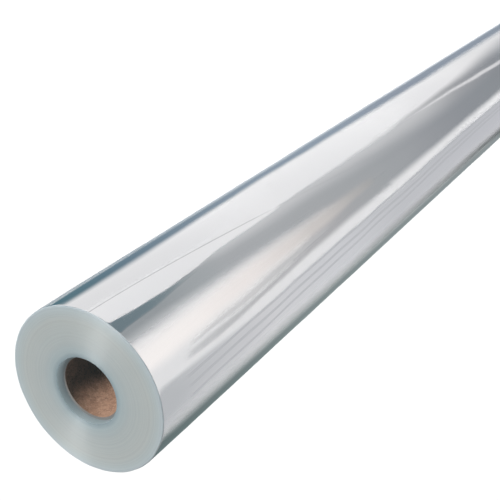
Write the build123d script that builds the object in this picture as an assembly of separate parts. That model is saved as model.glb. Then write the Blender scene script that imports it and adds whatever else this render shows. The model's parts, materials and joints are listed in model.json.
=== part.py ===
from build123d import *
import os

# Roll of clear film standing on one end: a winding of film on a paperboard core.
# Z is the axis of the roll, and z = 0 is the surface that it stands on.

# Winding
film_width = 900.0          # width of the web, which is the length of the roll
roll_diameter = 105.0       # over the outer turn
rim_rounding = 0.8          # where the outer turns meet each end face
lip_width = 6.0             # ring beside the core in which the end face dips
lip_dip = 0.4               # how far it has dipped at the inner turn

# Core
core_bore = 38.0            # spindle hole
core_wall = 2.0             # spirally wound paperboard
core_recess = 5.0           # how far each end of the core lies inside the film
core_chamfer = 0.3          # edge of the spindle hole, eased where the tube was cut

# Fit
winding_clearance = 0.0     # the inner turn grips the core

core_radius = core_bore / 2 + core_wall
winding_bore_radius = core_radius + winding_clearance
roll_radius = roll_diameter / 2


def end_face_outline(height, outward):
    """Edges of one end of the winding, from the inner turn to the outer turn.

    outward is 1 at the top end and -1 at the bottom end.
    """
    inner_turn = (winding_bore_radius, height - outward * lip_dip)
    lip_start = (winding_bore_radius + lip_width, height)
    rim_start = (roll_radius - rim_rounding, height)
    rim_end = (roll_radius, height - outward * rim_rounding)
    lip = TangentArc(lip_start, inner_turn, tangent=(-1, 0))
    flat_ring = Line(lip_start, rim_start)
    rim = TangentArc(rim_start, rim_end, tangent=(1, 0))
    return [lip, flat_ring, rim]


def make_film_winding():
    """All the turns of film as one solid, turned about the axis of the roll."""
    outline = end_face_outline(0, -1) + end_face_outline(film_width, 1)
    outline.append(Line((roll_radius, rim_rounding), (roll_radius, film_width - rim_rounding)))
    outline.append(Line((winding_bore_radius, lip_dip), (winding_bore_radius, film_width - lip_dip)))
    half_section = Plane.XZ * make_face(outline)
    return revolve(half_section, Axis.Z)


def make_core_tube():
    """Paperboard tube, cut square and set back from both end faces of the film."""
    ring = Circle(core_radius) - Circle(core_bore / 2)
    tube = Pos(0, 0, core_recess) * extrude(ring, film_width - 2 * core_recess)
    bore_edges = tube.edges().filter_by(GeomType.CIRCLE).sort_by(lambda edge: edge.radius)[:2]
    return chamfer(bore_edges, core_chamfer)


nodes = {
    "film_winding": make_film_winding(),
    "core_tube": make_core_tube(),
}

os.makedirs("parts", exist_ok=True)
for name, shape in nodes.items():
    shape.label = name
    export_step(shape, f"parts/{name}.step")
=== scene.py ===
import json
import math

import bmesh
import bpy
from mathutils import Matrix, Vector


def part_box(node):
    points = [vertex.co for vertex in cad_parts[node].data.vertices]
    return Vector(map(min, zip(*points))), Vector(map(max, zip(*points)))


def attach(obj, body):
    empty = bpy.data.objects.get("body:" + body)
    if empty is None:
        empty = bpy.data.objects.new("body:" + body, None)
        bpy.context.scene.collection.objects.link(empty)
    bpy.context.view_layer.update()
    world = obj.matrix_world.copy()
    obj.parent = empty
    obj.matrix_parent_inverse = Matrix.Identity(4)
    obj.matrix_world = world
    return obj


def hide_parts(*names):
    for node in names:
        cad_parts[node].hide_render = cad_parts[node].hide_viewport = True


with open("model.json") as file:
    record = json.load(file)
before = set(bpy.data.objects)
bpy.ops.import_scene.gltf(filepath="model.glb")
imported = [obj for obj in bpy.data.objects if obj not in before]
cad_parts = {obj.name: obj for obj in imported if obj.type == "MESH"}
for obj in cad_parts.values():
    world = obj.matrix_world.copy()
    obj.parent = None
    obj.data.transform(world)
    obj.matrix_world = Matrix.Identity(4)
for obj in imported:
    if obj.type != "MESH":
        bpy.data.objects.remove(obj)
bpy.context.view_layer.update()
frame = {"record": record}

# the fixed frame: the roll stands on z = 0, its axis is z, and the open end is at the top
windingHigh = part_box("film_winding")[1]
coreLow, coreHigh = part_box("core_tube")
rollRadius = windingHigh.x
rollLength = windingHigh.z
coreRadius = coreHigh.x
coreBore = next(m for m in frame["record"]["mounts"] if m["name"] == "core_bore")["dims"]["r_mm"] / 1000
topCentre = Vector((0, 0, rollLength))
print("frame loaded: roll", round(rollRadius * 2000), "mm across and", round(rollLength * 1000), "mm long")


def addNode(tree, kind, inputs=None, **settings):
    node = tree.nodes.new(kind)
    for name, value in settings.items():
        setattr(node, name, value)
    for name, value in (inputs or {}).items():
        feed(tree, node.inputs[name], value)
    return node


def feed(tree, socket, value):
    if isinstance(value, bpy.types.NodeSocket):
        tree.links.new(value, socket)
    else:
        socket.default_value = value


def calc(tree, operation, first, second=None, third=None):
    node = addNode(tree, "ShaderNodeMath", operation=operation)
    for socket, value in zip(node.inputs, (first, second, third)):
        if value is not None:
            feed(tree, socket, value)
    return node.outputs[0]


def remap(tree, value, low, high, newLow=0.0, newHigh=1.0, smooth=False):
    node = addNode(tree, "ShaderNodeMapRange", interpolation_type="SMOOTHSTEP" if smooth else "LINEAR")
    for name, setting in (("Value", value), ("From Min", low), ("From Max", high),
                          ("To Min", newLow), ("To Max", newHigh)):
        feed(tree, node.inputs[name], setting)
    return node.outputs["Result"]


def noise(tree, dimensions, scale, detail=2.0, roughness=0.5, vector=None, w=None):
    node = addNode(tree, "ShaderNodeTexNoise", noise_dimensions=dimensions)
    node.inputs["Scale"].default_value = scale
    node.inputs["Detail"].default_value = detail
    node.inputs["Roughness"].default_value = roughness
    if vector is not None:
        tree.links.new(vector, node.inputs["Vector"])
    if w is not None:
        feed(tree, node.inputs["W"], w)
    return node.outputs["Fac"]


def joinVector(tree, x, y, z):
    node = addNode(tree, "ShaderNodeCombineXYZ")
    for socket, value in zip(node.inputs, (x, y, z)):
        feed(tree, socket, value)
    return node.outputs[0]


def newTree(name, kind, inputs, outputs):
    tree = bpy.data.node_groups.new(name, kind)
    for direction, sockets in (("INPUT", inputs), ("OUTPUT", outputs)):
        for label, socketType, default in sockets:
            socket = tree.interface.new_socket(label, in_out=direction, socket_type=socketType)
            if default is not None:
                socket.default_value = default
    return tree, tree.nodes.new("NodeGroupInput").outputs, tree.nodes.new("NodeGroupOutput").inputs


def makeTurningTree():
    number, whole, material = "NodeSocketFloat", "NodeSocketInt", "NodeSocketMaterial"
    tree, given, result = newTree(
        "turnedSection", "GeometryNodeTree",
        [("Section", "NodeSocketGeometry", None),
         ("Columns", whole, 240),
         ("Length", number, 1.0),
         ("Inner Radius", number, 0.02),
         ("Outer Radius", number, 0.05),
         ("Seam Angle", number, 0.0),
         ("Seam Skew", number, 0.0),
         ("Skew Reach", number, 0.1),
         ("Skew Ease", number, 1.0),
         ("Seam Twist", number, 0.0),
         ("Seam Step", number, 0.0),
         ("Seam Lift", number, 0.0),
         ("Edge Share", number, 0.001),
         ("Edge Fade Start", number, 0.1),
         ("Edge Fade End", number, 0.2),
         ("Lift Share", number, 0.01),
         ("Sway", number, 0.0),
         ("Sway Length", number, 0.1),
         ("Slack", number, 0.0),
         ("Slack Reach", number, 0.01),
         ("Ridge", number, 0.0),
         ("Ridge Pitch", number, 0.001),
         ("Ridge Waver", number, 0.0009),
         ("Side Finish", material, None),
         ("Cut Finish", material, None)],
        [("Solid", "NodeSocketGeometry", None)])
    tree.is_modifier = True
    size = addNode(tree, "GeometryNodeAttributeDomainSize", {"Geometry": given["Section"]}, component="MESH")
    rows = size.outputs["Point Count"]
    grid = addNode(tree, "GeometryNodeMeshGrid", {
        "Vertices X": calc(tree, "ADD", given["Columns"], 3.0), "Vertices Y": rows})
    index = addNode(tree, "GeometryNodeInputIndex").outputs[0]
    row = calc(tree, "MODULO", index, rows)
    column = calc(tree, "FLOOR", calc(tree, "DIVIDE", calc(tree, "ADD", index, 0.5), rows))
    # the first column is narrow, so that the painted shade along the free edge is a thin line
    isNarrow = calc(tree, "COMPARE", column, 1.0, 0.1)
    isFirst = calc(tree, "LESS_THAN", column, 0.5)
    pastNarrow = calc(tree, "MAXIMUM", calc(tree, "SUBTRACT", column, 1.0), 0.0)
    evenTurn = calc(tree, "DIVIDE", pastNarrow, given["Columns"])
    turn = calc(tree, "MINIMUM", calc(tree, "MULTIPLY_ADD", isNarrow, given["Edge Share"], evenTurn), 1.0)
    isClosing = calc(tree, "GREATER_THAN", column, calc(tree, "ADD", given["Columns"], 1.5))
    lap = calc(tree, "SUBTRACT", turn, isClosing)           # 0 on the free edge, 1 just under it

    def fromSection(kind, socket):
        picked = addNode(tree, "GeometryNodeSampleIndex", {
            "Geometry": given["Section"], "Index": row}, data_type=kind, domain="POINT")
        tree.links.new(socket, picked.inputs["Value"])
        return picked.outputs["Value"]

    def named(name):
        return addNode(tree, "GeometryNodeInputNamedAttribute", {"Name": name}, data_type="FLOAT").outputs[0]

    place = addNode(tree, "ShaderNodeSeparateXYZ", {
        "Vector": fromSection("FLOAT_VECTOR", addNode(tree, "GeometryNodeInputPosition").outputs[0])}).outputs
    radius, height = place["X"], place["Z"]
    endSide = fromSection("FLOAT", named("endSide"))
    cutShare = fromSection("FLOAT", named("cutShare"))

    depth = calc(tree, "SUBTRACT", given["Length"], height)
    alongReach = calc(tree, "DIVIDE", calc(tree, "MAXIMUM", depth, 0.0), given["Skew Reach"])
    run = calc(tree, "POWER", alongReach, given["Skew Ease"])
    bent = calc(tree, "SUBTRACT", 1.0, calc(tree, "EXPONENT", calc(tree, "MULTIPLY", run, -1.0)))
    backwards = calc(tree, "MULTIPLY", given["Seam Skew"], -1.0)
    seam = calc(tree, "MULTIPLY_ADD", bent, backwards, given["Seam Angle"])
    seam = calc(tree, "MULTIPLY_ADD", height, given["Seam Twist"], seam)
    angle = calc(tree, "MULTIPLY_ADD", turn, math.tau, seam)
    across, along = calc(tree, "COSINE", angle), calc(tree, "SINE", angle)

    outerShare = remap(tree, radius, given["Inner Radius"], given["Outer Radius"])
    stepDown = calc(tree, "MULTIPLY", lap, given["Seam Step"])
    liftShape = calc(tree, "EXPONENT", calc(
        tree, "DIVIDE", calc(tree, "MULTIPLY", lap, -1.0), given["Lift Share"]))
    drop = calc(tree, "SUBTRACT", stepDown, calc(
        tree, "MULTIPLY", given["Seam Lift"], calc(tree, "SUBTRACT", liftShape, 1.0)))
    swayPlace = joinVector(tree, across, along, calc(tree, "DIVIDE", height, given["Sway Length"]))
    sway = remap(tree, noise(tree, "3D", 1.6, 1.0, 0.4, vector=swayPlace), 0.30, 0.75)
    drop = calc(tree, "MULTIPLY_ADD", sway, given["Sway"], drop)
    toEnd = calc(tree, "MINIMUM", height, depth)
    slackShape = calc(tree, "EXPONENT", calc(
        tree, "DIVIDE", calc(tree, "MULTIPLY", toEnd, -1.0), given["Slack Reach"]))
    slackNoise = remap(tree, noise(tree, "3D", 3.2, 2.0, 0.6, vector=joinVector(tree, across, along, calc(
        tree, "MULTIPLY", height, 3.0))), 0.34, 0.75)
    drop = calc(tree, "MULTIPLY_ADD", calc(tree, "MULTIPLY", slackShape, slackNoise), given["Slack"], drop)
    newRadius = calc(tree, "SUBTRACT", radius, calc(tree, "MULTIPLY", drop, outerShare))

    waver = noise(tree, "2D", 1.3, 1.0, 0.5, vector=joinVector(tree, across, along, 0.0))
    wandered = calc(tree, "MULTIPLY_ADD", waver, given["Ridge Waver"], radius)
    ridgePlace = calc(tree, "DIVIDE", wandered, given["Ridge Pitch"])
    ridge = noise(tree, "1D", 1.0, 3.0, 0.6, w=ridgePlace)
    newHeight = calc(tree, "SUBTRACT", height, calc(
        tree, "MULTIPLY", calc(tree, "MULTIPLY", ridge, given["Ridge"]), endSide))

    point = joinVector(tree, calc(tree, "MULTIPLY", across, newRadius),
                       calc(tree, "MULTIPLY", along, newRadius), newHeight)
    kept = addNode(tree, "GeometryNodeStoreNamedAttribute", {
        "Geometry": grid.outputs["Mesh"], "Name": "cutShare", "Value": cutShare},
        data_type="FLOAT", domain="POINT")
    # further from the top the painted shade along the free edge fades out, where the edge clings
    clear = remap(tree, depth, given["Edge Fade Start"], given["Edge Fade End"], 1.0, 0.0)
    onEdge = calc(tree, "MULTIPLY", calc(tree, "ADD", isFirst, isClosing), clear)
    marked = addNode(tree, "GeometryNodeStoreNamedAttribute", {
        "Geometry": kept.outputs[0], "Name": "freeEdgeShade", "Value": onEdge}, data_type="FLOAT", domain="POINT")
    faced = addNode(tree, "GeometryNodeStoreNamedAttribute", {
        "Geometry": marked.outputs[0], "Name": "onFace", "Value": calc(tree, "ABSOLUTE", endSide)},
        data_type="FLOAT", domain="POINT")
    placed = addNode(tree, "GeometryNodeSetPosition", {"Geometry": faced.outputs[0], "Position": point})
    closed = addNode(tree, "GeometryNodeMergeByDistance", {"Geometry": placed.outputs[0], "Distance": 1e-6})
    smooth = addNode(tree, "GeometryNodeSetShadeSmooth", {"Geometry": closed.outputs[0]})
    whole = addNode(tree, "GeometryNodeRealizeInstances", {"Geometry": smooth.outputs[0]})
    sides = addNode(tree, "GeometryNodeSetMaterial", {
        "Geometry": whole.outputs[0], "Material": given["Side Finish"]})
    isCut = calc(tree, "GREATER_THAN", named("cutShare"), 0.4)
    ends = addNode(tree, "GeometryNodeSetMaterial", {
        "Geometry": sides.outputs[0], "Selection": isCut, "Material": given["Cut Finish"]})
    tree.links.new(ends.outputs[0], result["Solid"])
    return tree


turningTree = makeTurningTree()


# section is a closed list of (radius, height, endSide, cutShare)
def turnSection(name, section, settings):
    base = bpy.data.meshes.new(name)
    points = section + section[:1]
    base.from_pydata([(p[0], 0, p[1]) for p in points], [(i, i + 1) for i in range(len(points) - 1)], [])
    for label, place in (("endSide", 2), ("cutShare", 3)):
        layer = base.attributes.new(label, "FLOAT", "POINT")
        layer.data.foreach_set("value", [float(p[place]) for p in points])
    maker = bpy.data.objects.new(name + "Maker", base)
    bpy.context.scene.collection.objects.link(maker)
    turning = maker.modifiers.new("turning", "NODES")
    turning.node_group = turningTree
    sockets = {s.name: s.identifier for s in turningTree.interface.items_tree if s.in_out == "INPUT"}
    for label, value in settings.items():
        turning[sockets[label]] = value
    bpy.context.view_layer.update()
    made = maker.evaluated_get(bpy.context.evaluated_depsgraph_get())
    mesh = bpy.data.meshes.new_from_object(made)
    bpy.data.objects.remove(maker)
    tidy = bmesh.new()
    tidy.from_mesh(mesh)
    bmesh.ops.dissolve_degenerate(tidy, edges=tidy.edges, dist=1e-7)
    bmesh.ops.recalc_face_normals(tidy, faces=tidy.faces)
    loose = [e for e in tidy.edges if len(e.link_faces) != 2]
    tidy.to_mesh(mesh)
    tidy.free()
    mesh.set_sharp_from_angle(angle=math.radians(40))
    mesh.name = name
    piece = bpy.data.objects.new(name, mesh)
    bpy.context.scene.collection.objects.link(piece)
    print(name, "has", len(mesh.polygons), "faces and", len(loose), "open edges")
    return piece


# fine lines round the axis, as the cut edges of wound layers show
def makeRadialLines():
    tree, given, result = newTree(
        "radialLines", "ShaderNodeTree",
        [("Pitch", "NodeSocketFloat", 0.001), ("Waver", "NodeSocketFloat", 0.0005)],
        [("Lines", "NodeSocketFloat", None), ("Radius", "NodeSocketFloat", None)])
    place = addNode(tree, "ShaderNodeTexCoord").outputs["Object"]
    parts = addNode(tree, "ShaderNodeSeparateXYZ", {"Vector": place}).outputs
    radius = calc(tree, "SQRT", calc(tree, "MULTIPLY_ADD", parts["X"], parts["X"], calc(
        tree, "MULTIPLY", parts["Y"], parts["Y"])))
    drift = noise(tree, "3D", 22.0, 2.0, 0.5, vector=place)
    wander = calc(tree, "MULTIPLY_ADD", drift, given["Waver"], radius)
    lines = noise(tree, "1D", 1.0, 4.0, 0.62, w=calc(tree, "DIVIDE", wander, given["Pitch"]))
    tree.links.new(lines, result["Lines"])
    tree.links.new(radius, result["Radius"])
    return tree


# slow change over the surface, stretched along the axis or not
def makeSoftDrift():
    tree, given, result = newTree(
        "softDrift", "ShaderNodeTree",
        [("Scale", "NodeSocketFloat", 10.0), ("Stretch", "NodeSocketFloat", 1.0),
         ("Low", "NodeSocketFloat", 0.0), ("High", "NodeSocketFloat", 1.0)],
        [("Drift", "NodeSocketFloat", None)])
    place = addNode(tree, "ShaderNodeSeparateXYZ", {
        "Vector": addNode(tree, "ShaderNodeTexCoord").outputs["Object"]}).outputs
    pulled = joinVector(tree, place["X"], place["Y"], calc(tree, "DIVIDE", place["Z"], given["Stretch"]))
    scaled = addNode(tree, "ShaderNodeVectorMath", {0: pulled}, operation="SCALE")
    tree.links.new(given["Scale"], scaled.inputs["Scale"])
    cloud = noise(tree, "3D", 1.0, 3.0, 0.5, vector=scaled.outputs[0])
    tree.links.new(remap(tree, cloud, 0.3, 0.7, given["Low"], given["High"], smooth=True), result["Drift"])
    return tree


radialLines = makeRadialLines()
softDrift = makeSoftDrift()


def newMaterial(name, colour):
    material = bpy.data.materials.new(name)
    material.use_nodes = True
    material.diffuse_color = (*colour, 1)
    tree = material.node_tree
    shader = tree.nodes["Principled BSDF"]
    shader.inputs["Base Color"].default_value = (*colour, 1)
    return material, tree, shader


def useGroup(tree, group, **settings):
    node = addNode(tree, "ShaderNodeGroup", node_tree=group)
    for label, value in settings.items():
        node.inputs[label].default_value = value
    return node.outputs


def colourRamp(tree, value, stops):
    node = addNode(tree, "ShaderNodeValToRGB", {"Fac": value})
    ramp = node.color_ramp
    while len(ramp.elements) < len(stops):
        ramp.elements.new(0.5)
    for element, (position, colour) in zip(ramp.elements, stops):
        element.position = position
        element.color = (*colour, 1)
    return node.outputs["Color"]


def blendColours(tree, amount, first, second, mode="MIX"):
    node = addNode(tree, "ShaderNodeMix", data_type="RGBA", blend_type=mode)
    # inputs 6 and 7 are the two colours, and output 2 is the mixed one
    feed(tree, node.inputs["Factor"], amount)
    feed(tree, node.inputs[6], first)
    feed(tree, node.inputs[7], second)
    return node.outputs[2]


outerTurnFinish = {
    "bright": (0.675, 0.675, 0.685),    # the mirror of many clear turns on one another
    "dull": (0.645, 0.647, 0.660),
    # dark line painted along the free edge: painted shade at the step of the film
    "freeEdgeShade": (0.24, 0.25, 0.27),
    "patchScale": 26.0,
    "patchStretch": 5.0,            # patches are longer along the roll
    "bandScale": 60.0,
    "bandStretch": 0.5,             # and bands are longer round it
    "roughLow": 0.035,
    "roughHigh": 0.09,
    "coat": 0.4,
    "coatRoughness": 0.02,
    "coatIor": 1.5,
    "ripple": 0.00003,
    "rippleStrength": 0.5,
}


def makeOuterTurnFinish():
    f = outerTurnFinish
    material, tree, shader = newMaterial("filmOuterTurn", f["bright"])
    patches = useGroup(tree, softDrift, Scale=f["patchScale"], Stretch=f["patchStretch"])["Drift"]
    bands = useGroup(tree, softDrift, Scale=f["bandScale"], Stretch=f["bandStretch"])["Drift"]
    film = blendColours(tree, patches, (*f["bright"], 1), (*f["dull"], 1))
    # painted shade along the free edge
    edge = addNode(tree, "ShaderNodeAttribute", attribute_name="freeEdgeShade").outputs["Fac"]
    tree.links.new(blendColours(tree, edge, film, (*f["freeEdgeShade"], 1)), shader.inputs["Base Color"])
    tree.links.new(remap(tree, bands, 0.0, 1.0, f["roughLow"], f["roughHigh"]), shader.inputs["Roughness"])
    ripple = addNode(tree, "ShaderNodeBump", {
        "Strength": f["rippleStrength"], "Distance": f["ripple"], "Height": patches})
    tree.links.new(ripple.outputs["Normal"], shader.inputs["Normal"])
    shader.inputs["Metallic"].default_value = 1.0
    shader.inputs["Coat Weight"].default_value = f["coat"]
    shader.inputs["Coat Roughness"].default_value = f["coatRoughness"]
    shader.inputs["Coat IOR"].default_value = f["coatIor"]
    return material


cutEndFinish = {
    "innerTurn": (0.16, 0.19, 0.20),
    "paintedMouthGlow": (0.165, 0.207, 0.220),     # painted glow, for light that has come through the layers, at the mouth
    "paintedDeepGlow": (0.085, 0.105, 0.112),      # and a dimmer painted glow where the core begins, so the wall is painted darker deeper down
    "mouthEdge": 0.0004,
    "mouthDepth": 0.005,
    "nearCore": (0.168, 0.215, 0.234),
    "aroundCore": (0.245, 0.290, 0.300),
    "middle": (0.275, 0.303, 0.303),
    "outer": (0.292, 0.314, 0.308),
    "nearRim": (0.288, 0.325, 0.330),
    "rim": (0.300, 0.340, 0.362),
    "linePitch": 0.0013,
    "lineWaver": 0.0010,
    "lineShade": (0.95, 1.04),
    "fineLinePitch": 0.00042,
    "fineLineWaver": 0.0006,
    "fineLineShade": 0.03,
    "bump": 0.0001,
    "bumpStrength": 0.25,
    "roughness": 0.58,
    "roughnessSpread": 0.05,
    "grooves": 0.88,                    # how much the cut edges stretch a highlight outwards
    "glow": 0.3,                        # light that goes in through an edge and comes out beside it
    "glowReach": 0.003,
    "glowTint": (0.8, 0.95, 1.0),
}


def makeCutEndFinish():
    f = cutEndFinish
    material, tree, shader = newMaterial("filmCutEnds", f["middle"])
    coarse = useGroup(tree, radialLines, Pitch=f["linePitch"], Waver=f["lineWaver"])
    fine = useGroup(tree, radialLines, Pitch=f["fineLinePitch"], Waver=f["fineLineWaver"])
    share = remap(tree, coarse["Radius"], coreRadius, rollRadius)
    body = colourRamp(tree, share, [
        (0.0, f["nearCore"]), (0.10, f["aroundCore"]), (0.30, f["middle"]),
        (0.72, f["outer"]), (0.88, f["nearRim"]), (1.0, f["rim"])])
    fineShade = remap(tree, fine["Lines"], 0.3, 0.7, -f["fineLineShade"], f["fineLineShade"])
    shade = calc(tree, "ADD", remap(tree, coarse["Lines"], 0.3, 0.7, *f["lineShade"]), fineShade)
    grey = joinVector(tree, shade, shade, shade)
    lined = blendColours(tree, 1.0, body, grey, mode="MULTIPLY")
    onFace = addNode(tree, "ShaderNodeAttribute", attribute_name="onFace").outputs["Fac"]
    shown = blendColours(tree, onFace, (*f["innerTurn"], 1), lined)
    tree.links.new(shown, shader.inputs["Base Color"])
    # painted glow on the inner turn, brightest at the mouth and dimmer deeper down: it stands in for light
    # come through the layers and for shade in the recess
    level = addNode(tree, "ShaderNodeSeparateXYZ", {
        "Vector": addNode(tree, "ShaderNodeTexCoord").outputs["Object"]}).outputs["Z"]
    inwards = calc(tree, "MINIMUM", level, calc(tree, "SUBTRACT", rollLength, level))
    dim = remap(tree, inwards, f["mouthEdge"], f["mouthDepth"])
    paintedWallGlow = blendColours(tree, dim, (*f["paintedMouthGlow"], 1), (*f["paintedDeepGlow"], 1))
    glow = blendColours(tree, onFace, paintedWallGlow, (0, 0, 0, 1))
    tree.links.new(glow, shader.inputs["Emission Color"])
    shader.inputs["Emission Strength"].default_value = 1.0
    depth = calc(tree, "MULTIPLY_ADD", fine["Lines"], 0.5, coarse["Lines"])
    bump = addNode(tree, "ShaderNodeBump", {
        "Strength": f["bumpStrength"], "Distance": f["bump"], "Height": depth})
    tree.links.new(bump.outputs["Normal"], shader.inputs["Normal"])
    smoothest, roughest = f["roughness"] - f["roughnessSpread"], f["roughness"] + f["roughnessSpread"]
    tree.links.new(remap(tree, coarse["Lines"], 0.3, 0.7, smoothest, roughest), shader.inputs["Roughness"])
    shader.inputs["Anisotropic"].default_value = f["grooves"]
    shader.inputs["Anisotropic Rotation"].default_value = 0.25
    tangent = addNode(tree, "ShaderNodeTangent", direction_type="RADIAL", axis="Z")
    tree.links.new(tangent.outputs[0], shader.inputs["Tangent"])
    shader.inputs["Subsurface Weight"].default_value = f["glow"]
    shader.inputs["Subsurface Radius"].default_value = f["glowTint"]
    shader.inputs["Subsurface Scale"].default_value = f["glowReach"]
    return material


paperFinish = {
    "kraft": (0.54, 0.315, 0.210),
    "kraftDark": (0.39, 0.220, 0.145),
    "cloudScale": 260.0,
    "fibre": (0.16, 0.095, 0.065),
    "fibreScale": 1150.0,
    "fibreBand": (0.54, 0.68),      # part of the noise in which dark fibres show
    "fibreShare": 0.6,
    "fleck": (0.68, 0.45, 0.32),
    "fleckScale": 800.0,
    "fleckBand": (0.55, 0.68),
    "fleckShare": 0.45,
    "cutEndShade": (0.05, 0.052, 0.05),
    "leastCutEndShade": 0.86,           # least share of the painted shade on the cut end
    "plyPitch": 0.00035,
    "plyWaver": 0.0001,
    "bump": 0.0002,
    "bumpStrength": 0.5,
    "roughness": 0.85,
    "gloss": 0.15,
    "paintedBoreGlow": (0.006, 0.0115, 0.0135),    # painted faint cool glow deep in the bore
    "paintedFilmGlow": (0.105, 0.128, 0.136),     # painted glow for the light that the film passes on to the cut edge beside it
    "paintedInnerFilmGlow": (0.070, 0.080, 0.083),
    "heldBack": 0.05,               # share of its colour that the paper passes on to what it faces
}


def makePaperFinish(name, isEnd):
    f = paperFinish
    material, tree, shader = newMaterial(name, f["kraft"])
    cloud = useGroup(tree, softDrift, Scale=f["cloudScale"], Stretch=1.0)["Drift"]
    base = blendColours(tree, cloud, (*f["kraft"], 1), (*f["kraftDark"], 1))
    place = addNode(tree, "ShaderNodeTexCoord").outputs["Object"]
    dark = noise(tree, "3D", f["fibreScale"], 2.0, 0.7, vector=place)
    light = noise(tree, "3D", f["fleckScale"], 1.0, 0.6, vector=place)
    fibres = remap(tree, dark, *f["fibreBand"], 0.0, f["fibreShare"])
    flecks = remap(tree, light, *f["fleckBand"], 0.0, f["fleckShare"])
    base = blendColours(tree, fibres, base, (*f["fibre"], 1))
    base = blendColours(tree, flecks, base, (*f["fleck"], 1))
    height = dark
    if isEnd:
        # the cut end of the core is painted nearly black, a painted shade for its place at the bottom of the
        # recess in the winding
        plies = useGroup(tree, radialLines, Pitch=f["plyPitch"], Waver=f["plyWaver"])
        cutShadeShare = remap(tree, plies["Lines"], 0.35, 0.65, f["leastCutEndShade"], 1.0)
        base = blendColours(tree, cutShadeShare, base, (*f["cutEndShade"], 1))
        height = plies["Lines"]
        # a painted glow on the cut end stands in for the light that the film passes on to it
        near = remap(tree, plies["Radius"], coreBore, coreRadius)
        lit = blendColours(tree, near, (*f["paintedInnerFilmGlow"], 1), (*f["paintedFilmGlow"], 1))
        tree.links.new(lit, shader.inputs["Emission Color"])
    else:
        # a faint painted cool glow in the bore
        shader.inputs["Emission Color"].default_value = (*f["paintedBoreGlow"], 1)
    shader.inputs["Emission Strength"].default_value = 1.0
    held = blendColours(tree, f["heldBack"], (0, 0, 0, 1), base)
    bounced = addNode(tree, "ShaderNodeLightPath").outputs["Is Diffuse Ray"]
    tree.links.new(blendColours(tree, bounced, base, held), shader.inputs["Base Color"])
    bump = addNode(tree, "ShaderNodeBump", {
        "Strength": f["bumpStrength"], "Distance": f["bump"], "Height": height})
    tree.links.new(bump.outputs["Normal"], shader.inputs["Normal"])
    shader.inputs["Roughness"].default_value = f["roughness"]
    shader.inputs["Specular IOR Level"].default_value = f["gloss"]
    return material


outerTurnMaterial = makeOuterTurnFinish()
cutEndMaterial = makeCutEndFinish()
boreMaterial = makePaperFinish("coreWallPaper", False)
coreEndMaterial = makePaperFinish("coreCutPaper", True)
print("finishes made")


filmWinding = {
    "columns": 240,
    "rimRounding": 0.0008,
    "rimRows": 6,
    "rimCut": 0.6,                  # share of the rounding that still belongs to the cut end
    "rimGap": 0.0018,               # first rows of the body beside the rim
    "lipWidth": 0.006,
    "lipDip": 0.0004,
    "lineSpacing": 0.00042,         # rows across an end face, close enough for its ridges
    "rowSpacing": 0.0075,           # rows along the body
    "innerRows": 12,                # rows along the inner turn, behind its mouth
    "innerStart": 0.05,
    "ridge": 0.00010,
    "ridgePitch": 0.0011,
    "ridgeWaver": 0.0009,
    "freeEdgeAngle": -51.9,         # where the free edge of the film meets the top end
    "freeEdgeSkew": 57.0,           # how far it runs round the roll before it lies straight
    "skewReach": 8.0,               # in radii of the roll
    "skewEase": 1.45,
    "edgeFade": (2.96, 3.44),       # radii below the top between which the painted shade of the free edge fades out
    "freeEdgeStep": 0.00015,
    "freeEdgeLift": 0.00012,
    "freeEdgeWidth": 0.0021,        # of one turn
    "liftShare": 0.012,             # of one turn
    "sway": 0.00018,
    "swayLength": 0.10,
    "slack": 0.0004,
    "slackReach": 0.010,
}


def spread(first, last, count):
    return [first + (last - first) * i / (count - 1) for i in range(count)]


# closed half section: bottom end, body, top end, inner turn
def windingSection(f):
    lipStart = coreRadius + f["lipWidth"]
    rimStart = rollRadius - f["rimRounding"]
    lipArc = (f["lipWidth"] ** 2 + f["lipDip"] ** 2) / (2 * f["lipDip"])
    faceCount = round((rimStart - lipStart) / f["lineSpacing"])
    lipCount = round(f["lipWidth"] / f["lineSpacing"])
    end = []                         # (radius, how far in from the end plane), inner turn to outer
    for radius in spread(coreRadius, lipStart, lipCount)[:-1]:
        end.append((radius, lipArc - math.sqrt(lipArc ** 2 - (lipStart - radius) ** 2)))
    end += [(radius, 0.0) for radius in spread(lipStart, rimStart, faceCount)]
    for angle in spread(0, math.pi / 2, f["rimRows"])[1:]:
        end.append((rimStart + f["rimRounding"] * math.sin(angle), f["rimRounding"] * (1 - math.cos(angle))))
    cutTo = f["rimRounding"] * f["rimCut"]
    section = [(radius, inset, -1, radius < rimStart or inset < cutTo) for radius, inset in end]
    nearRim = [f["rimRounding"] + f["rimGap"] * step for step in (0.5, 1, 2, 3.2)]
    bodyStart, bodyEnd = nearRim[-1], rollLength - nearRim[-1]
    bodyCount = round((bodyEnd - bodyStart) / f["rowSpacing"])
    heights = nearRim + spread(bodyStart, bodyEnd, bodyCount)[1:-1]
    heights += [rollLength - height for height in reversed(nearRim)]
    section += [(rollRadius, height, 0, 0) for height in heights]
    section += [(radius, rollLength - inset, 1, radius < rimStart or inset < cutTo)
                for radius, inset in reversed(end)]
    nearMouth = [f["lipDip"] + step for step in (0.00012, 0.0015, 0.003, 0.0045, 0.006)]
    innerHeights = [rollLength - height for height in nearMouth]
    innerHeights += spread(rollLength - f["innerStart"], f["innerStart"], f["innerRows"]) + nearMouth[::-1]
    section += [(coreRadius, height, 0, 1) for height in innerHeights]
    return section


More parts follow.
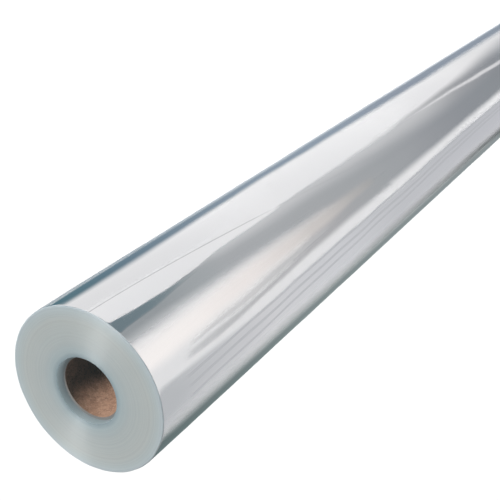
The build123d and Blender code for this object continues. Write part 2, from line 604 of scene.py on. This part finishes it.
def makeFilmWinding():
    f = filmWinding
    return turnSection("filmWinding", windingSection(f), {
        "Columns": f["columns"],
        "Length": rollLength,
        "Inner Radius": coreRadius,
        "Outer Radius": rollRadius,
        "Seam Angle": math.radians(f["freeEdgeAngle"]),
        "Seam Skew": math.radians(f["freeEdgeSkew"]),
        "Skew Reach": f["skewReach"] * rollRadius,
        "Skew Ease": f["skewEase"],
        "Seam Step": f["freeEdgeStep"],
        "Seam Lift": -f["freeEdgeLift"],
        "Edge Share": f["freeEdgeWidth"],
        "Edge Fade Start": f["edgeFade"][0] * rollRadius,
        "Edge Fade End": f["edgeFade"][1] * rollRadius,
        "Lift Share": f["liftShare"],
        "Sway": f["sway"],
        "Sway Length": f["swayLength"],
        "Slack": f["slack"],
        "Slack Reach": f["slackReach"],
        "Ridge": f["ridge"],
        "Ridge Pitch": f["ridgePitch"],
        "Ridge Waver": f["ridgeWaver"],
        "Side Finish": outerTurnMaterial,
        "Cut Finish": cutEndMaterial,
    })


coreTube = {
    "columns": 96,
    "rowSpacing": 0.005,
    "chamfer": 0.0003,
    "ringRows": 7,
    "plyWidth": 0.085,              # height that one strip of paper climbs in a turn
    "plyStep": 0.00012,
    "seamAngle": 20.0,
    "sway": -0.0001,
    "swayLength": 0.05,
    "ridge": 0.00025,
    "ridgePitch": 0.0005,
}


def coreSection(f):
    low, high = coreLow.z, coreHigh.z
    wall = spread(low + f["chamfer"], high - f["chamfer"], round((high - low) / f["rowSpacing"]))
    ring = spread(coreBore + f["chamfer"], coreRadius, f["ringRows"])
    section = [(radius, low, -1, 1) for radius in ring]
    section += [(coreRadius, height, 0, 0) for height in spread(low, high, len(wall))[1:-1]]
    section += [(radius, high, 1, 1) for radius in reversed(ring)]
    section += [(coreBore, height, 0, 0) for height in reversed(wall)]
    return section


def makeCoreTube():
    f = coreTube
    return turnSection("coreTube", coreSection(f), {
        "Columns": f["columns"],
        "Length": rollLength,
        "Inner Radius": coreRadius + 0.0001,        # the step shows in the bore and not on the gripped side
        "Outer Radius": coreBore,
        "Seam Angle": math.radians(f["seamAngle"]),
        "Seam Twist": math.tau / f["plyWidth"],
        "Seam Step": -f["plyStep"],
        "Sway": f["sway"],
        "Sway Length": f["swayLength"],
        "Ridge": f["ridge"],
        "Ridge Pitch": f["ridgePitch"],
        "Side Finish": boreMaterial,
        "Cut Finish": coreEndMaterial,
    })


winding = makeFilmWinding()
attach(winding, "root")
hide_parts("film_winding")
core = makeCoreTube()
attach(core, "root")
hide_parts("core_tube")
print("pieces made")


cameraView = {
    "lens": 69.43,
    "distance": 10.444,             # in radii of the roll, from the middle of the top end
    "elevation": 38.445,
    "aimAcross": 0.1777,            # where the view crosses the plane of the axis, in radii
    "aimDown": 3.6395,
    "roll": 126.318,                # turned about the view until the roll lies across the picture
}


def makeCamera():
    v = cameraView
    rise = math.radians(v["elevation"])
    reach = v["distance"] * rollRadius
    spot = topCentre + Vector((0, -math.cos(rise), math.sin(rise))) * reach
    aim = topCentre + Vector((v["aimAcross"], 0, -v["aimDown"])) * rollRadius
    data = bpy.data.cameras.new("camera")
    data.lens = v["lens"]
    data.sensor_width = 36
    data.dof.use_dof = False
    data.clip_start, data.clip_end = 0.01, 50
    camera = bpy.data.objects.new("camera", data)
    turned = (aim - spot).to_track_quat("-Z", "Y") @ Matrix.Rotation(
        -math.radians(v["roll"]), 3, "Z").to_quaternion()
    camera.rotation_mode = "QUATERNION"
    camera.location, camera.rotation_quaternion = spot, turned
    bpy.context.scene.collection.objects.link(camera)
    bpy.context.scene.camera = camera
    return spot


cameraSpot = makeCamera()


studio = {
    "floorColour": (0.76, 0.76, 0.76),
    "floorRoughness": 0.7,
    "floorSize": 400.0,
    "floorSides": 72,
    "openingInside": 0.0003,        # the opening under the winding starts this far outside the core
    "openingOutside": 0.0014,       # and ends this far inside the outer turn
    "keyAzimuth": -15.0,
    "keyElevation": 60.0,
    "keySpread": 20.0,              # how wide the light is in the sky, which softens the shadows
    "keyPower": 5.0,
    "skyForDiffuse": 0.035,
    "lightFromBelow": 1.1,
    "skySeen": 1.0,
    "overhead": (0.95, 0.96, 0.97),
    "overheadRise": (0.25, 0.9),    # how high the bands give way to the plain sky overhead
}


def makeFloor():
    s = studio
    # the floor is open where the winding covers it, so that light from below reaches the hidden end
    count = s["floorSides"]
    turns = [math.tau * i / count for i in range(count)]
    points = [(0, 0, 0)]
    for reach in (coreRadius + s["openingInside"], rollRadius - s["openingOutside"], s["floorSize"] / 2):
        points += [(reach * math.cos(turn), reach * math.sin(turn), 0) for turn in turns]
    inner, opening, rim = 1, 1 + count, 1 + 2 * count
    faces = [(0, inner + i, inner + (i + 1) % count) for i in range(count)]
    faces += [(opening + i, rim + i, rim + (i + 1) % count, opening + (i + 1) % count) for i in range(count)]
    mesh = bpy.data.meshes.new("floor")
    mesh.from_pydata(points, [], faces)
    floor = bpy.data.objects.new("floor", mesh)
    material, tree, shader = newMaterial("paleFloor", s["floorColour"])
    shader.inputs["Roughness"].default_value = s["floorRoughness"]
    # seen from below the floor is clear, so that the underside of the roll can be looked at
    below = addNode(tree, "ShaderNodeNewGeometry").outputs["Backfacing"]
    tree.links.new(calc(tree, "SUBTRACT", 1.0, below), shader.inputs["Alpha"])
    mesh.materials.append(material)
    bpy.context.scene.collection.objects.link(floor)


# round the horizon the film mirrors soft upright bands: the compass angle and the tone of each
skyBands = [(-180, 0.80), (-150, 0.79), (-141, 0.92), (-134, 1.12), (-126, 1.18), (-84, 1.22), (-74, 0.95),
            (-64, 0.64), (-54, 0.55), (-47, 0.60), (-38, 1.20), (8, 1.20), (17, 1.14), (27, 0.88), (35, 0.54),
            (45, 0.48), (58, 0.50), (66, 0.60), (76, 0.50), (95, 0.50), (125, 0.48), (145, 0.52), (155, 0.74),
            (165, 0.84), (180, 0.80)]


def makeSky():
    s = studio
    world = bpy.data.worlds.new("studio")
    bpy.context.scene.world = world
    world.use_nodes = True
    tree = world.node_tree
    background = tree.nodes["Background"]
    path = addNode(tree, "ShaderNodeLightPath").outputs
    way = addNode(tree, "ShaderNodeSeparateXYZ", {
        "Vector": addNode(tree, "ShaderNodeTexCoord").outputs["Generated"]}).outputs
    compass = calc(tree, "ARCTAN2", way["Y"], way["X"])
    bands = colourRamp(tree, remap(tree, compass, -math.pi, math.pi), [
        ((angle + 180) / 360, (tone * (0.88 + tone / 10), tone, tone + 0.01)) for angle, tone in skyBands])
    overhead = remap(tree, way["Z"], *s["overheadRise"], smooth=True)
    mirrored = blendColours(tree, overhead, bands, (*s["overhead"], 1))
    plain = (s["skySeen"], s["skySeen"], s["skySeen"], 1)
    shown = blendColours(tree, path["Is Glossy Ray"], plain, mirrored)
    above, under = s["skyForDiffuse"], s["lightFromBelow"]
    isUnder = calc(tree, "LESS_THAN", way["Z"], 0.0)
    lit = blendColours(tree, isUnder, (above, above * 1.02, above * 1.05, 1), (under, under, under, 1))
    tree.links.new(blendColours(tree, path["Is Diffuse Ray"], shown, lit), background.inputs["Color"])


def makeKeyLight():
    s = studio
    data = bpy.data.lights.new("keyLight", "SUN")
    data.angle = math.radians(s["keySpread"])
    data.energy = s["keyPower"]
    light = bpy.data.objects.new("keyLight", data)
    turn, rise = math.radians(s["keyAzimuth"]), math.radians(s["keyElevation"])
    away = Vector((math.cos(turn) * math.cos(rise), math.sin(turn) * math.cos(rise), math.sin(rise)))
    light.location = topCentre + away
    light.rotation_mode = "QUATERNION"
    light.rotation_quaternion = away.to_track_quat("Z", "Y")
    bpy.context.scene.collection.objects.link(light)


# the spot on that level which shows mirrored in the roll, at an angle round it and a depth below its top
def mirrorSpot(angle, depth, level):
    # past the outline of the roll the spot is swung on round it
    seen = min(-cardLayout["fromOutline"], max(cardLayout["fromOutline"] - 180, angle))
    turn = math.radians(seen)
    outward = Vector((math.cos(turn), math.sin(turn), 0))
    start = outward * rollRadius + Vector((0, 0, rollLength - depth * rollRadius))
    ray = (start - cameraSpot).normalized()
    ray -= 2 * ray.dot(outward) * outward
    spot = start + ray * ((start.z - level) / -ray.z)
    return Matrix.Rotation(math.radians(2 * (angle - seen)), 3, "Z") @ spot


# cards lie flat on the floor and show only mirrored in the film. Each station has a depth below the top of
# the roll, in radii, the angles round it where the card starts, is full, is still full and ends, and its tone.
cards = {
    "nearVeil": [
        (0, (-28, -31, -49, -51), (1.045, 1.045, 1.05)),
        (1, (-28, -31, -53, -55), (1.08, 1.08, 1.085)),
        (2, (-28, -31, -57, -59), (1.14, 1.14, 1.145)),
        (3, (-28, -31, -61, -63), (1.20, 1.20, 1.205))],
    "farVeil": [
        (6.5, (-34, -40, -66, -69), (1.20, 1.20, 1.20)),
        (8, (-34, -40, -66, -69), (1.11, 1.11, 1.115)),
        (10, (-34, -42, -66, -69), (1.09, 1.085, 1.09)),
        (12, (-34, -44, -66, -69), (0.98, 0.98, 0.985)),
        (17, (-34, -44, -66, -69), (0.98, 0.98, 0.985))],
    "upperGlow": [
        (0, (8, 6, -17, -19), (0.46, 0.52, 0.56)),
        (2, (8, 6, -17, -19), (0.54, 0.61, 0.66)),
        (4, (8, 6, -17, -19), (0.66, 0.72, 0.77)),
        (17, (8, 6, -17, -19), (0.67, 0.72, 0.77))],
    "blueStrip": [
        (0, (-15.5, -22.5, -29, -37), (0.12, 0.225, 0.27)),
        (1, (-14, -22.5, -29, -38.5), (0.165, 0.255, 0.32)),
        (2, (-13, -22.5, -28.5, -37), (0.235, 0.315, 0.385)),
        (4, (-13, -22.5, -27.5, -35), (0.325, 0.395, 0.47)),
        (6, (-13, -22.5, -30, -38.5), (0.34, 0.41, 0.49)),
        (9, (-14, -22.5, -33, -42.5), (0.335, 0.385, 0.46)),
        (12, (-15, -22, -32, -46), (0.32, 0.37, 0.44)),
        (17, (-15, -22, -34, -48), (0.32, 0.37, 0.44))],
    "lowerGrey": [
        (0, (-114, -118, -135, -150), (0.68, 0.70, 0.72)),
        (2, (-117, -121, -135, -150), (0.88, 0.88, 0.90)),
        (4, (-115, -118, -137, -152), (0.84, 0.85, 0.88)),
        (6, (-113, -119, -134, -150), (0.72, 0.73, 0.76)),
        (9, (-109, -114, -132, -150), (0.70, 0.71, 0.745)),
        (17, (-106, -112, -130, -150), (0.66, 0.67, 0.71))],
    "lowerShade": [
        (0, (-137, -156, -186, -188), (0.16, 0.21, 0.21)),
        (3, (-138, -157, -186, -188), (0.25, 0.30, 0.30)),
        (17, (-140, -158, -186, -188), (0.34, 0.37, 0.38))],
    "wedgeEdge": [
        (1.2, (-69.0, -70.0, -73, -76), (0.55, 0.58, 0.59)),
        (1.6, (-69.2, -70.0, -74, -77), (0.58, 0.60, 0.61)),
        (1.9, (-67.0, -68.0, -76, -79), (0.77, 0.79, 0.80)),
        (3, (-66.6, -67.8, -78, -81), (0.80, 0.81, 0.82)),
        (4, (-66.2, -68.6, -82, -85), (0.80, 0.81, 0.82)),
        (6, (-65.5, -70.5, -90, -96), (0.81, 0.82, 0.83)),
        (7, (-64.5, -71, -90, -96), (0.78, 0.79, 0.80)),
        (8, (-63.5, -67.5, -91, -96), (0.74, 0.75, 0.76)),
        (9, (-62, -67.5, -91, -97), (0.59, 0.60, 0.61)),
        (10, (-60, -68, -91, -97), (0.48, 0.49, 0.51)),
        (11, (-55, -69.5, -91, -97), (0.41, 0.425, 0.45)),
        (12, (-49, -70, -91, -97), (0.365, 0.385, 0.41)),
        (13, (-43, -72, -91, -97), (0.36, 0.39, 0.42)),
        (17, (-38, -72, -91, -97), (0.38, 0.41, 0.43))],
    "greyWedge": [
        (0, (-68.0, -69.0, -77, -90), (0.44, 0.475, 0.49)),
        (0.6, (-68.6, -69.8, -77, -89.5), (0.44, 0.475, 0.49)),
        (1.0, (-69.3, -70.6, -78, -88.5), (0.485, 0.52, 0.535)),
        (1.5, (-69.4, -70.4, -79, -89.5), (0.53, 0.565, 0.58)),
        (1.9, (-67.5, -76, -80, -91), (0.565, 0.585, 0.60)),
        (3, (-67.5, -78, -82, -95), (0.565, 0.585, 0.60)),
        (4, (-68, -80, -85.5, -99), (0.56, 0.578, 0.59)),
        (6, (-69, -86, -103, -111), (0.505, 0.527, 0.545)),
        (8, (-69, -90, -102, -109.5), (0.43, 0.45, 0.475)),
        (9.5, (-70, -90, -101, -107.5), (0.39, 0.413, 0.44)),
        (11, (-74, -88, -100, -106.5), (0.37, 0.395, 0.42)),
        (12, (-76, -86, -99, -106), (0.355, 0.377, 0.40)),
        (17, (-78, -86, -98, -105), (0.38, 0.41, 0.43))],
    "nearShade": [
        (0, (-67.8, -68.8, -74, -76), (0.228, 0.30, 0.333)),
        (0.6, (-68.4, -69.4, -73.5, -75.5), (0.25, 0.328, 0.36)),
        (1.0, (-69.3, -70.5, -72.2, -73.6), (0.32, 0.385, 0.41)),
        (1.5, (-70, -71, -71.2, -72), (0.53, 0.565, 0.58))],
    "farLine": [
        (7.4, (-67.0, -67.8, -68.2, -69.2), (0.78, 0.79, 0.80)),
        (8, (-67.6, -68.6, -69.4, -70.6), (0.80, 0.80, 0.82)),
        (9, (-68.6, -69.8, -70.8, -72.6), (0.94, 0.94, 0.95)),
        (10, (-69.6, -71.0, -72.4, -74.4), (0.94, 0.94, 0.95)),
        (11, (-71.2, -73.2, -75.0, -77.0), (0.94, 0.94, 0.95)),
        (12, (-73.2, -75.3, -77.3, -79.4), (0.93, 0.93, 0.94)),
        (14, (-76.5, -78.5, -80.5, -82.5), (0.70, 0.70, 0.72)),
        (16, (-78, -79.5, -81.5, -83), (0.44, 0.46, 0.48))],
    "thinShade": [
        (0.6, (-108, -110.5, -112, -113.5), (0.88, 0.88, 0.89)),
        (1, (-108, -111, -113, -114.8), (0.76, 0.765, 0.77)),
        (2, (-107, -109.7, -110.9, -112.6), (0.70, 0.70, 0.71)),
        (3, (-104.5, -107, -108.6, -111.5), (0.69, 0.69, 0.70)),
        (4, (-92, -96, -105.5, -111), (0.60, 0.60, 0.61)),
        (6, (-93, -97, -104, -111), (0.50, 0.525, 0.54))],
    "upperThinShade": [
        (0.7, (-104.5, -106, -106.5, -108), (0.97, 0.96, 0.95)),
        (1, (-104, -105.8, -106.5, -107.8), (0.90, 0.89, 0.89)),
        (2, (-101, -103.8, -106, -108.2), (0.88, 0.87, 0.87)),
        (3, (-98.5, -102.8, -104.5, -106.2), (0.78, 0.78, 0.78)),
        (4, (-97, -101.5, -103, -104.5), (0.66, 0.66, 0.67))],
    "warmGlow": [
        (0, (-83, -95, -99, -108), (1.35, 1.295, 1.255)),
        (1, (-83, -94, -98, -107), (1.34, 1.28, 1.235)),
        (2, (-83, -93, -96, -104), (1.23, 1.16, 1.12)),
        (4, (-86, -94, -96.5, -103), (0.84, 0.80, 0.77)),
        (5.6, (-89, -94.5, -95.5, -98), (0.54, 0.545, 0.54))],
}

cardLayout = {
    "rows": 60,
    "level": 0.001,
    "apart": 0.0002,                # each card lies this much above the one before
    "above": 0.3,                   # a card from the top end starts this many radii above it
    "lastDepth": 17,
    "beyond": [170, 55, 25, 12, 6, 3.5, 2.2, 1.5, 1.2],
    "paleRate": 0.06,               # further out a card grows paler, up to a limit
    "paleLimit": 0.35,
    "fromOutline": 9.0,             # degrees inside the outline of the roll
}

hairlines = {
    "angles": [(-122, -112), (-128.5, -117), (-136, -120.5)],   # of each, at the top and a span below it
    "span": 10,
    "steadyFrom": 11,
    "halfWidth": 1.2,
    "tone": (0.64, 0.655, 0.68),
    "depths": (0.5, 10, 17),
}


# one thin line down the lower side of the roll
def hairlineStations(first, last):
    h = hairlines
    slope = (last - first) / h["span"]
    middles = [first + slope * min(depth, h["steadyFrom"]) for depth in h["depths"]]
    return [(depth, tuple(middle + offset * h["halfWidth"] for offset in (1, 0.1, -0.1, -1)), h["tone"])
            for depth, middle in zip(h["depths"], middles)]


for number, (first, last) in enumerate(hairlines["angles"]):
    cards["hairline" + str(number)] = hairlineStations(first, last)


# the station at any depth, mixed from its neighbours
def stationAt(stations, depth):
    for upper, lower in zip(stations, stations[1:]):
        if depth <= lower[0]:
            break
    share = min(1.0, max(0.0, (depth - upper[0]) / (lower[0] - upper[0])))
    return [[a + (b - a) * share for a, b in zip(upper[part], lower[part])] for part in (1, 2)]


def makeCardMaterial():
    material = bpy.data.materials.new("cardTone")
    material.use_nodes = True
    tree = material.node_tree
    tree.nodes.remove(tree.nodes["Principled BSDF"])
    tone = addNode(tree, "ShaderNodeAttribute", attribute_name="tone")
    veil = addNode(tree, "ShaderNodeAttribute", attribute_name="veil")
    glow = addNode(tree, "ShaderNodeEmission", {"Color": tone.outputs["Color"]})
    clear = addNode(tree, "ShaderNodeBsdfTransparent")
    share = remap(tree, veil.outputs["Fac"], 0.0, 1.0, smooth=True)
    both = addNode(tree, "ShaderNodeMixShader", {"Fac": share})
    tree.links.new(clear.outputs[0], both.inputs[1])
    tree.links.new(glow.outputs[0], both.inputs[2])
    tree.links.new(both.outputs[0], tree.nodes["Material Output"].inputs["Surface"])
    return material


# how much of a card is there at any depth, where it fades in and out along its length
def bodyAt(stations, depth):
    first, second, beforeLast, last = [stations[place][0] for place in (0, 1, -2, -1)]
    body = 1.0
    if first > 0:
        body = min(body, (depth - first) / (second - first))
    if last < cardLayout["lastDepth"]:
        body = min(body, (last - depth) / (last - beforeLast))
    return body


def makeCard(name, stations, material, number):
    c = cardLayout
    points, tones, veils = [], [], []
    level = c["level"] + c["apart"] * number
    fromTop = stations[0][0] == 0
    top = -c["above"] if fromTop else stations[0][0]
    # a card that starts at the top end goes on outwards, so that it shows from low down too
    steps = [(top, factor) for factor in c["beyond"]] if fromTop else []
    steps += [(depth, 1) for depth in spread(top, stations[-1][0], c["rows"])]
    for depth, factor in steps:
        angles, tone = stationAt(stations, depth)
        body = bodyAt(stations, depth) if "Veil" in name else 1.0
        paleness = min(c["paleLimit"], c["paleRate"] * (factor - 1))
        paler = [mix + (1 - mix) * paleness for mix in tone]
        for angle, veil in zip(angles, (0, 1, 1, 0)):
            spot = mirrorSpot(angle, depth, level)
            points.append((spot.x * factor, spot.y * factor, spot.z))
            tones.append((*paler, 1))
            veils.append(veil * body)
    faces = [(4 * i + j, 4 * i + j + 1, 4 * i + j + 5, 4 * i + j + 4)
             for i in range(len(steps) - 1) for j in range(3)]
    mesh = bpy.data.meshes.new(name)
    mesh.from_pydata(points, [], faces)
    layer = mesh.attributes.new("tone", "FLOAT_COLOR", "POINT")
    layer.data.foreach_set("color", [channel for tone in tones for channel in tone])
    mesh.attributes.new("veil", "FLOAT", "POINT").data.foreach_set("value", veils)
    mesh.materials.append(material)
    card = bpy.data.objects.new(name, mesh)
    bpy.context.scene.collection.objects.link(card)
    card.visible_camera = card.visible_diffuse = card.visible_shadow = False
    card.visible_transmission = False


makeFloor()
makeSky()
makeKeyLight()
cardMaterial = makeCardMaterial()
for number, (name, stations) in enumerate(cards.items()):
    makeCard(name, stations, cardMaterial, number)
scene = bpy.context.scene
scene.view_settings.view_transform = "Standard"
print("studio made")
